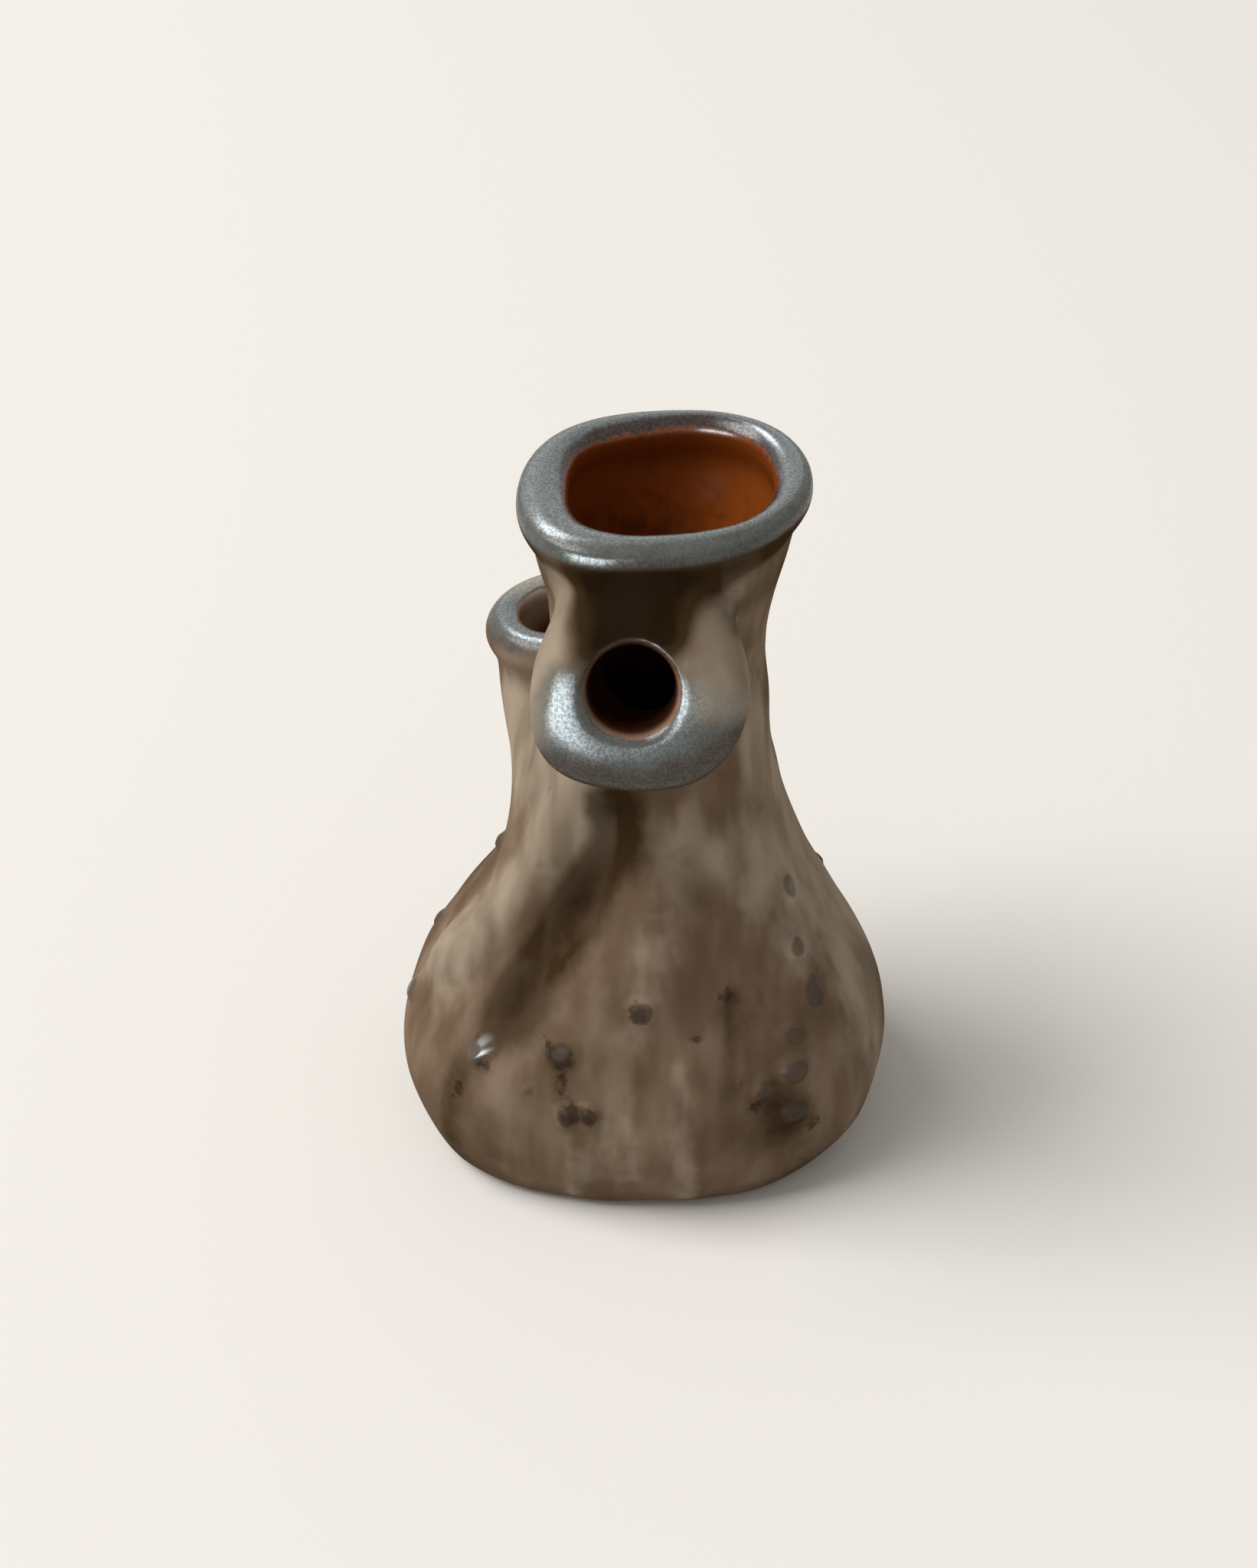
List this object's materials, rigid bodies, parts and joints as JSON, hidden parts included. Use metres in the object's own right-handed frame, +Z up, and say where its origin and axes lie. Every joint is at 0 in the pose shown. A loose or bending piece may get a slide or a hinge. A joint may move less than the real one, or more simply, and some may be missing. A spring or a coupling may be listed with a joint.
{
  "type": "pottery vase",
  "caption": "Hand-built glazed ceramic bud vase: bell-shaped belly on a flat foot, rolled-lip main mouth and side spouts.",
  "frame": {"origin": "middle of the foot's flat face, under the middle of the belly", "axes": "+Z up along the vase's height, -Y the front, where the spout with the cushion-shaped lip faces, +X to the viewer's right"},
  "size_m": [0.0789, 0.0618, 0.12],
  "materials": {
    "taupe_glaze": "matte mottled taupe-brown glaze with soft upright streaks",
    "lip_glaze": "satin blue-grey glaze, red-brown and glossy where it turns inside",
    "foot_clay": "matte glaze on the heel, bare fired clay underneath",
    "crumb_glaze": "glossy dark glaze over lumps of clay"
  },
  "bodies": {
    "root": {"floor_slab": "foot_clay", "belly_wall": "taupe_glaze", "neck_wall": "taupe_glaze", "main_lip": "lip_glaze", "front_spout": "taupe_glaze", "front_lip": "lip_glaze", "back_spout": "taupe_glaze", "back_lip": "lip_glaze", "crumb_01": "crumb_glaze", "crumb_02": "crumb_glaze", "crumb_03": "crumb_glaze", "crumb_04": "crumb_glaze", "crumb_05": "crumb_glaze", "crumb_06": "crumb_glaze", "crumb_07": "crumb_glaze", "crumb_08": "crumb_glaze", "crumb_09": "crumb_glaze", "crumb_10": "crumb_glaze", "crumb_11": "crumb_glaze", "crumb_12": "crumb_glaze", "crumb_13": "crumb_glaze", "crumb_14": "crumb_glaze", "crumb_15": "crumb_glaze"}
  },
  "joints": []
}
